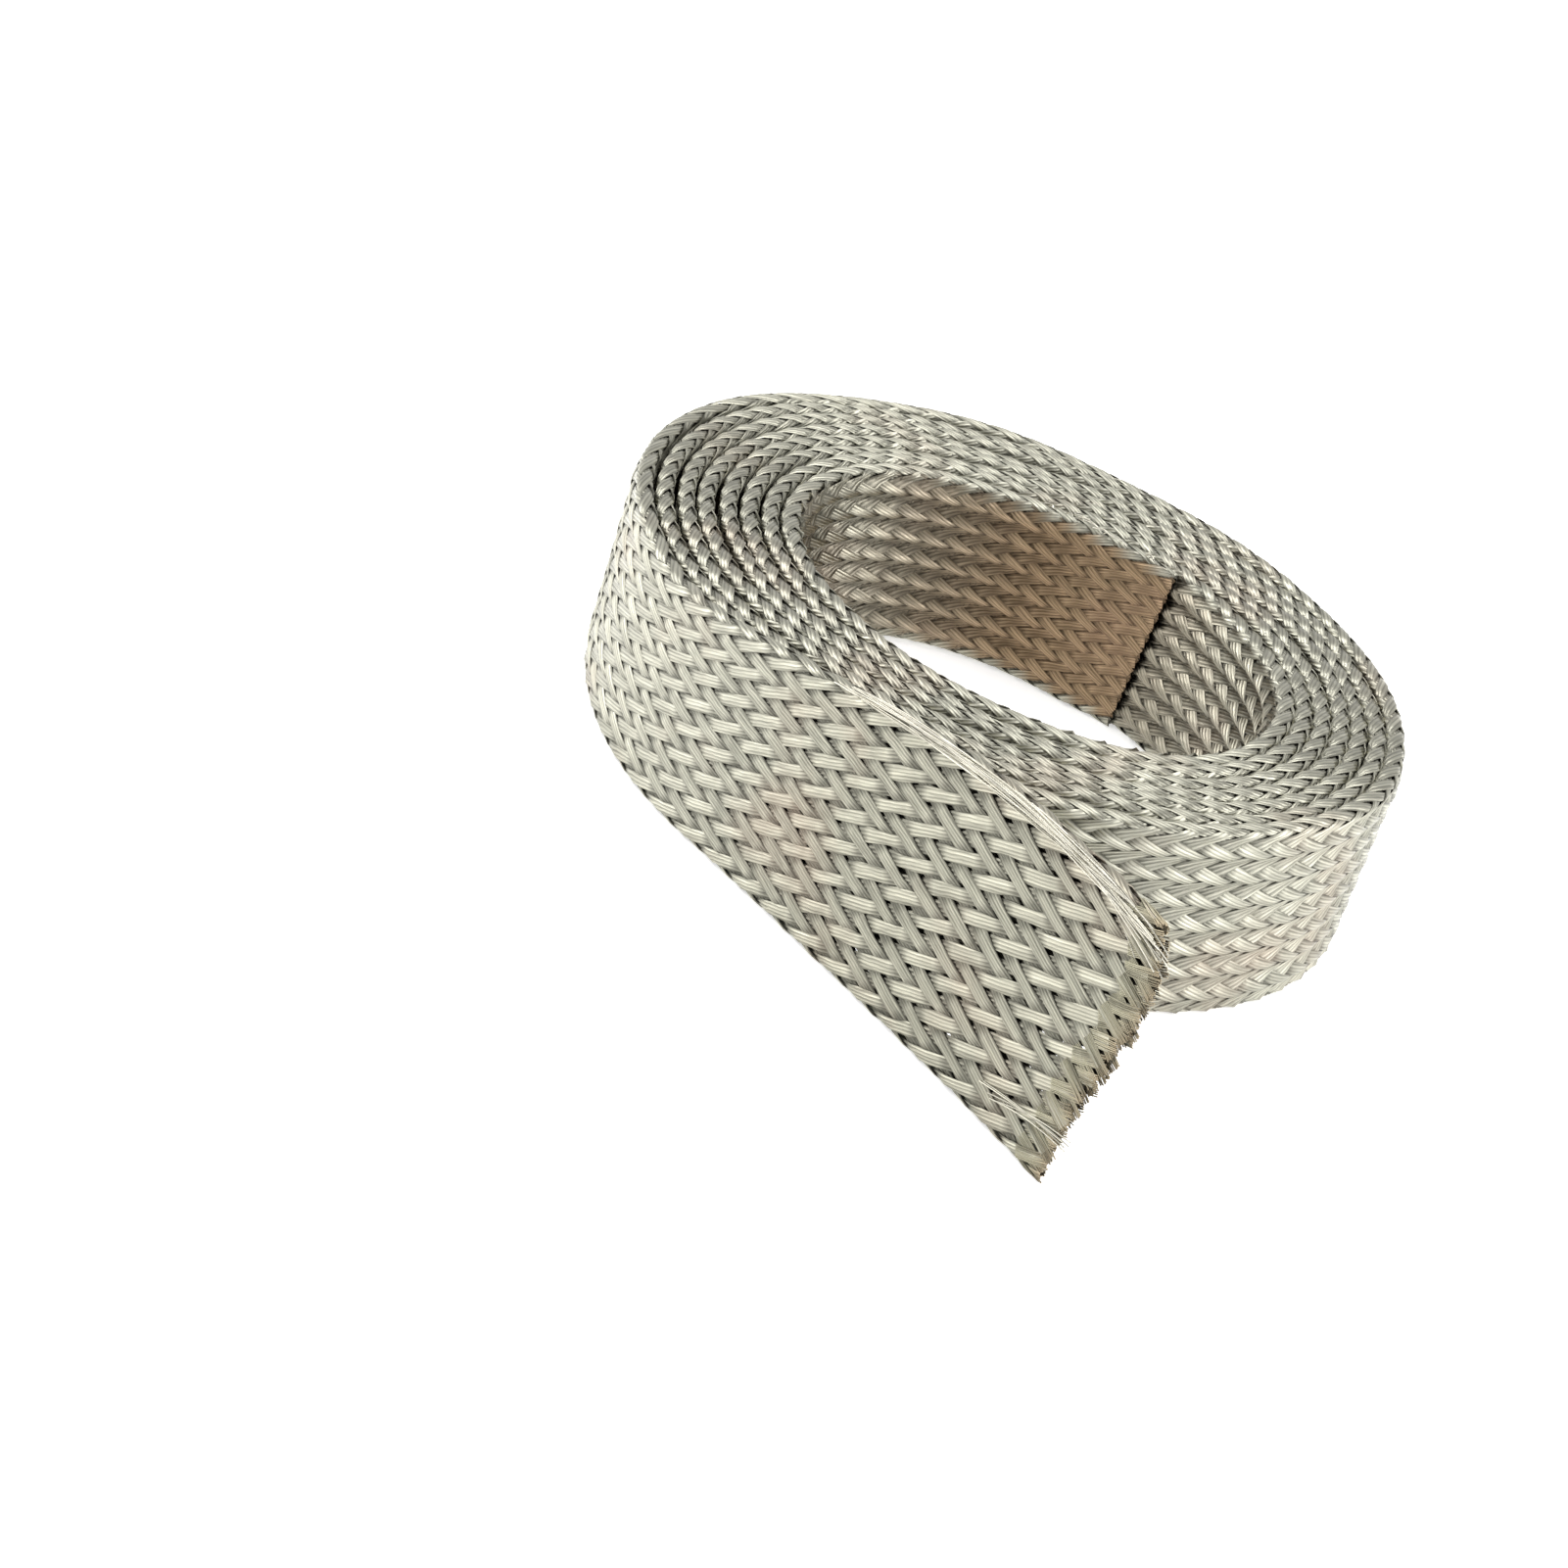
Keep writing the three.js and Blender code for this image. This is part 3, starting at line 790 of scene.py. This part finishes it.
def sweep_box(mesh, line, start, end, depths):
    """A closed strip that stands for the walls nobody sees, between two depths of the tape."""
    count = max(2, int((end - start) / HIDDEN_STEP))
    length = np.linspace(start, end, count)
    width = line.width(length)
    corners = ((depths[1], 0), (depths[1], 1), (depths[0], 1), (depths[0], 0))
    columns = []
    for depth, rise in corners:
        height = HIDDEN_DROP + rise * (width - 2 * HIDDEN_DROP)
        columns.append(line.place(length, np.full(count, depth), height))
    points = np.stack(columns, 1)
    number = np.arange(count * 4).reshape(count, 4)
    here, there = number[:-1], number[1:]
    quads = np.stack((here, there, np.roll(there, -1, 1), np.roll(here, -1, 1)), -1)
    heights = np.stack((points[..., 2], np.broadcast_to(length[:, None], (count, 4))), -1) / MM
    # The hidden walls are dull, half warm and in full painted shade, so they show dark through the weave's
    # holes
    mesh.add(points.reshape(-1, 3), heights.reshape(-1, 2), quads, [number[0, ::-1], number[-1]], (1, 0.5, 1))


class BRAID_OT_outer_turn(bpy.types.Operator):
    """Weaves the outermost turn: its outer face and both folded edges"""

    bl_idname = "braid.outer_turn"
    bl_label = "Outer turn"

    def execute(self, context):
        weave = weave_of(context)
        line = weave.line
        start = line.length_at(LAST_ANGLE - FULL_TURN) - LAP
        mesh = Mesh()
        weave.strands(mesh, start, line.coil_end - TAIL_LAP, on_outside, 5, OUTER_RIDGES)
        mesh.build("braid_outer_turn", materials(context.scene.tape_colours)["plaited"])
        return {"FINISHED"}


class BRAID_OT_inner_turn(bpy.types.Operator):
    """Weaves the innermost turn: its inner face and both folded edges"""

    bl_idname = "braid.inner_turn"
    bl_label = "Inner turn"

    def execute(self, context):
        weave = weave_of(context)
        end = weave.line.length_at(FIRST_ANGLE + FULL_TURN) + LAP
        mesh = Mesh()
        weave.strands(mesh, 0, end, on_inside, 5, INNER_RIDGES)
        mesh.build("braid_inner_turn", materials(context.scene.tape_colours)["plaited"])
        return {"FINISHED"}


class BRAID_OT_middle_turns(bpy.types.Operator):
    """Weaves the folded edges of the turns between, upper and lower"""

    bl_idname = "braid.middle_turns"
    bl_label = "Middle turns"

    def execute(self, context):
        weave = weave_of(context)
        line = weave.line
        start = line.length_at(FIRST_ANGLE + FULL_TURN) + LAP
        end = line.length_at(LAST_ANGLE - FULL_TURN) - LAP
        top = FACE_STRIPES + EDGE_STRIPES / 2
        for name, middle in (("upper", top), ("lower", top + STRIPES / 2)):
            mesh = Mesh()

            def near(stripe, length, middle=middle):
                return np.abs(np.mod(stripe - middle + STRIPES / 2, STRIPES) - STRIPES / 2) < 2.6

            weave.strands(mesh, start, end, near, 4, (0, 0), EDGE_LENS)
            mesh.build(f"braid_{name}_edges", materials(context.scene.tape_colours)["plaited"])
        return {"FINISHED"}


class BRAID_OT_core(bpy.types.Operator):
    """Fills the tape where its woven walls lie against each other, out of sight"""

    bl_idname = "braid.core"
    bl_label = "Hidden walls"

    def execute(self, context):
        line = weave_of(context).line
        inner = line.length_at(FIRST_ANGLE + FULL_TURN)
        outer = line.length_at(LAST_ANGLE - FULL_TURN)
        mesh = Mesh()
        sweep_box(mesh, line, 4 * MM, inner, (-HIDDEN_SKIN, HIDDEN_DEPTH))
        sweep_box(mesh, line, inner, outer, (-HIDDEN_DEPTH, HIDDEN_DEPTH))
        sweep_box(mesh, line, outer, line.coil_end - TAIL_LAP, (-HIDDEN_DEPTH, HIDDEN_SKIN))
        piece = mesh.build("braid_hidden_walls", materials(context.scene.tape_colours)["plaited"])
        piece.data.polygons.foreach_set("use_smooth", np.zeros(len(piece.data.polygons), dtype=bool))
        return {"FINISHED"}


class BRAID_OT_tail(bpy.types.Operator):
    """Weaves the free tail, spread and open, on both faces"""

    bl_idname = "braid.tail"
    bl_label = "Tail"

    def execute(self, context):
        weave = weave_of(context)
        line = weave.line
        mesh = Mesh()
        ragged = weave.ragged[:, None]

        def before_cut(stripe, length):
            return length < line.end - 0.3 * MM + weave.end_reach(stripe) + ragged

        weave.strands(mesh, line.coil_end - TAIL_LAP, line.end + 5 * MM, before_cut, 6, OUTER_RIDGES)
        mesh.build("braid_tail", materials(context.scene.tape_colours)["plaited"])
        return {"FINISHED"}


class BRAID_OT_frayed_end(bpy.types.Operator):
    """Splays single wires out of the strands at the tail's cut"""

    bl_idname = "braid.frayed_end"
    bl_label = "Frayed end"

    def execute(self, context):
        weave = weave_of(context)
        line = weave.line
        wire = context.scene.tape_sizes.wire
        mesh = Mesh()
        for way in (1, -1):
            stripe = np.arange(STRIPES) + CROSSING + way * weave.periods_to(line.end)
            tips = line.end + weave.end_reach(stripe) + weave.ragged
            weave.wires(mesh, way, tips, WIRE_DRAWN * wire, 61 + way)
        mesh.build("braid_frayed_end", materials(context.scene.tape_colours)["loose"])
        return {"FINISHED"}


class BRAID_OT_loose_wires(bpy.types.Operator):
    """Lays the broken wires off the tail's upper edge and foot, and the hairs by the inner end"""

    bl_idname = "braid.loose_wires"
    bl_label = "Loose wires"

    def execute(self, context):
        weave = weave_of(context)
        line = weave.line
        wire = context.scene.tape_sizes.wire
        random = np.random.default_rng(19)
        t = np.linspace(0, 1, 12)
        paths = []
        for start, end, fall, count in EDGE_BUNCHES:
            for _ in range(count):
                first = line.end - (start + random.uniform(-3, 3)) * MM
                last = line.end - (end + random.uniform(-2, 2)) * MM
                length = first + (last - first) * t
                drop = fall * random.uniform(0.3, 1) * t ** 2.2 + 0.9 * random.uniform(0, 1)
                arch = np.sin(math.pi * t)
                depth = (0.7 + 0.4 * t + random.uniform(-0.3, 0.3) + random.uniform(-0.2, 0.5) * arch) * MM
                height = line.width(length) + (0.1 - drop + random.uniform(-0.5, 0.4) * arch) * MM
                paths.append(line.place(length, depth, height))
        for start, end, low, high, bow in FOOT_WIRES:
            length = line.end - (start + (end - start) * t) * MM
            share = low + (high - low) * t + bow * np.sin(math.pi * t)
            depth = (0.98 + 0.2 * np.sin(math.pi * t)) * MM
            paths.append(line.place(length, depth, share * line.width(length)))
        for _ in range(INNER_HAIRS):
            length = random.uniform(1, 20) * MM
            lean = random.uniform(-1, 1)
            run = random.uniform(1.5, 4.5) * MM
            along = np.clip(length + lean * run * t, -1 * MM, None)
            depth = (-0.4 - random.uniform(0.1, 0.5) * t * 3) * MM
            height = line.width(along) + (-0.3 + random.uniform(0.2, 0.9) * np.sin(2.2 * t)) * MM
            paths.append(line.place(along, depth, height))
        # Some of the wires are duller than others, and some are darkened with painted shade, as if they lay
        # deeper in the bunch
        dull = random.uniform(0, 0.5, len(paths))
        deep_shade = random.uniform(0, 0.25, len(paths))
        tones = np.stack((dull, 0 * dull, deep_shade), -1)
        mesh = Mesh()
        add_tubes(mesh, np.array(paths), wire * WIRE_DRAWN, tones[:, None, None])
        mesh.build("braid_loose_wires", materials(context.scene.tape_colours)["loose"])
        return {"FINISHED"}


class BRAID_OT_stage(bpy.types.Operator):
    """Lays the floor and sets the lamps and the camera"""

    bl_idname = "braid.stage"
    bl_label = "Stage"

    def execute(self, context):
        self.floor(context)
        self.lamps(context)
        self.world(context)
        self.camera(context)
        context.scene.view_settings.view_transform = "Standard"
        return {"FINISHED"}

    def floor(self, context):
        side = 3.0
        mesh = bpy.data.meshes.new("floor")
        corners = [(-side, -side, 0), (side, -side, 0), (side, side, 0), (-side, side, 0)]
        mesh.from_pydata(corners, [], [(0, 1, 2, 3)])
        mesh.materials.append(pale_floor(context.scene.tape_colours))
        floor = bpy.data.objects.new("floor", mesh)
        context.scene.collection.objects.link(floor)

    def lamps(self, context):
        for name, place, side, power in LAMPS:
            lamp = bpy.data.lights.new(name, "AREA")
            lamp.size = side
            lamp.energy = power
            holder = bpy.data.objects.new(name, lamp)
            holder.location = place
            aim = -Matrix.Translation(place).translation
            holder.rotation_euler = aim.to_track_quat("-Z", "Y").to_euler()
            context.scene.collection.objects.link(holder)

    def world(self, context):
        world = bpy.data.worlds.new("plain studio")
        world.use_nodes = True
        tree = world.node_tree
        tree.nodes.clear()
        # White near the horizon, where it meets the floor, and softer overhead
        direction = add_node(tree, "ShaderNodeTexCoord")
        axes = add_node(tree, "ShaderNodeSeparateXYZ", [("Vector", direction.outputs["Generated"])])
        strength = add_node(tree, "ShaderNodeMapRange", [("Value", axes.outputs["Z"])])
        strength.inputs["From Min"].default_value = 0.1
        strength.inputs["From Max"].default_value = 0.4
        strength.inputs["To Min"].default_value = 1
        strength.inputs["To Max"].default_value = 0.65
        back = add_node(tree, "ShaderNodeBackground", [("Strength", strength.outputs["Result"])])
        back.inputs["Color"].default_value = (1, 1, 1, 1)
        add_node(tree, "ShaderNodeOutputWorld", [("Surface", back.outputs[0])])
        context.scene.world = world

    def camera(self, context):
        """The photograph's view."""
        forward = np.array(CAMERA_FORWARD)
        forward /= np.linalg.norm(forward)
        level = np.cross(forward, (0, 0, 1))
        level /= np.linalg.norm(level)
        down = np.cross(forward, level)
        right = math.cos(CAMERA_ROLL) * level + math.sin(CAMERA_ROLL) * down
        up = math.sin(CAMERA_ROLL) * level - math.cos(CAMERA_ROLL) * down
        lens = bpy.data.cameras.new("camera")
        lens.sensor_width = 36
        lens.lens = lens.sensor_width * FOCAL_LENGTH / FRAME_SIDE
        camera = bpy.data.objects.new("camera", lens)
        axes = np.stack((right, up, -forward), 1)
        rows = [[*axes[row], CAMERA_PLACE[row]] for row in range(3)]
        camera.matrix_world = Matrix(rows + [[0, 0, 0, 1]])
        context.scene.collection.objects.link(camera)
        context.scene.camera = camera


PIECES = (
    BRAID_OT_stage,
    BRAID_OT_outer_turn,
    BRAID_OT_inner_turn,
    BRAID_OT_middle_turns,
    BRAID_OT_core,
    BRAID_OT_tail,
    BRAID_OT_frayed_end,
    BRAID_OT_loose_wires,
)


class BRAID_PT_panel(bpy.types.Panel):
    """The braid's sizes and colours, and a button for each piece"""

    bl_idname = "BRAID_PT_panel"
    bl_label = "Busbar braid"
    bl_space_type = "VIEW_3D"
    bl_region_type = "UI"
    bl_category = "Braid"

    def draw(self, context):
        for group in (context.scene.tape_sizes, context.scene.tape_colours):
            for name in group.__annotations__:
                self.layout.prop(group, name)
        for piece in PIECES:
            self.layout.operator(piece.bl_idname)


CLASSES = (TapeSizes, TapeColours, *PIECES, BRAID_PT_panel)


def register():
    for item in CLASSES:
        bpy.utils.register_class(item)
    bpy.types.Scene.tape_sizes = PointerProperty(type=TapeSizes)
    bpy.types.Scene.tape_colours = PointerProperty(type=TapeColours)


def unregister():
    del bpy.types.Scene.tape_colours
    del bpy.types.Scene.tape_sizes
    for item in reversed(CLASSES):
        bpy.utils.unregister_class(item)


def main():
    register()
    for piece in PIECES:
        group, name = piece.bl_idname.split(".")
        getattr(getattr(bpy.ops, group), name)()


if __name__ == "__main__":
    main()
